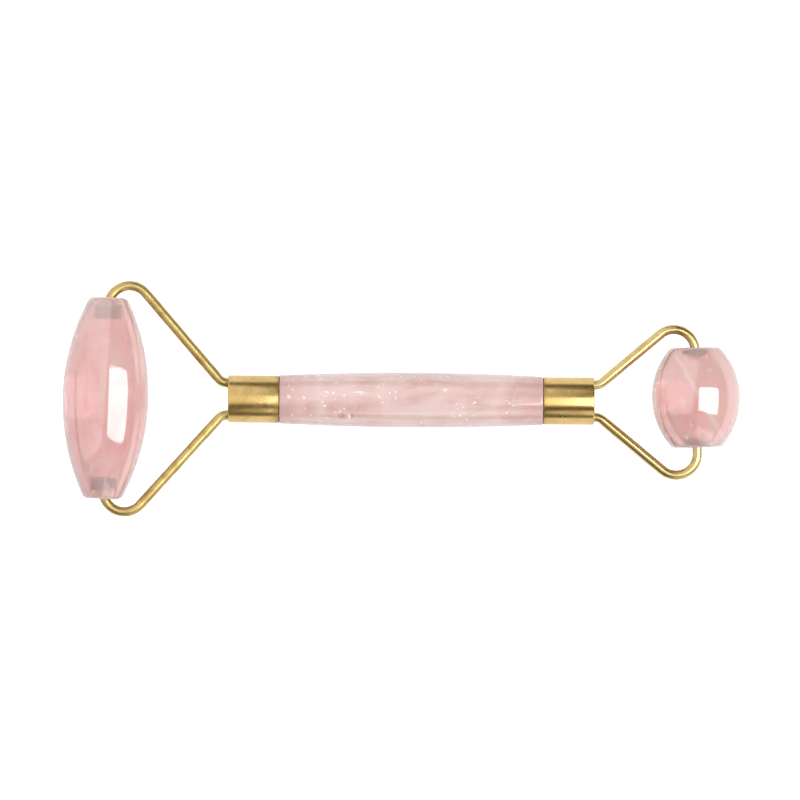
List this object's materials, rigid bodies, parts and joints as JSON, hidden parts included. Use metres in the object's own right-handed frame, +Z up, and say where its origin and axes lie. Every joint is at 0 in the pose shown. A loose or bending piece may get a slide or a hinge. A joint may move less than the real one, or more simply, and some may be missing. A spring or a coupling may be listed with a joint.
{
  "type": "face roller",
  "caption": "Two-ended rose quartz face roller: stone rod handle, brass ferrules and bent-wire yokes, with a long and a short barrel-shaped stone roller that spin freely.",
  "frame": {"origin": "under the middle of the overall length, on the surface that the rollers rest on, in the plane through the handle's axis", "axes": "+X runs along the handle from the large roller to the small one, +Y is to the left along the rollers' axes, +Z is up"},
  "size_m": [0.14, 0.0488, 0.0182],
  "materials": {
    "quartz": "polished rose quartz",
    "brass": "satin, unlacquered",
    "epoxy": "cured clear epoxy"
  },
  "bodies": {
    "handle": {"handle_stone": "quartz", "large_ferrule": "brass", "large_yoke_wire": "brass", "large_yoke_potting": "epoxy", "large_ferrule_bond": "epoxy", "small_ferrule": "brass", "small_yoke_wire": "brass", "small_yoke_potting": "epoxy", "small_ferrule_bond": "epoxy"},
    "large_roller": {"large_roller_stone": "quartz", "large_roller_left_bush": "brass", "large_roller_left_bush_bond": "epoxy", "large_roller_right_bush": "brass", "large_roller_right_bush_bond": "epoxy"},
    "small_roller": {"small_roller_stone": "quartz", "small_roller_left_bush": "brass", "small_roller_left_bush_bond": "epoxy", "small_roller_right_bush": "brass", "small_roller_right_bush_bond": "epoxy"}
  },
  "joints": [
    {"name": "large_roller_spin", "type": "hinge", "parent": "handle", "child": "large_roller", "pos_m": [-0.06109, 0, 0.00912], "axis": [0.0227, 0.9997, 0], "continuous": true},
    {"name": "small_roller_spin", "type": "hinge", "parent": "handle", "child": "small_roller", "pos_m": [0.06086, 0, 0.00912], "axis": [-0.0279, 0.9996, 0], "continuous": true}
  ]
}
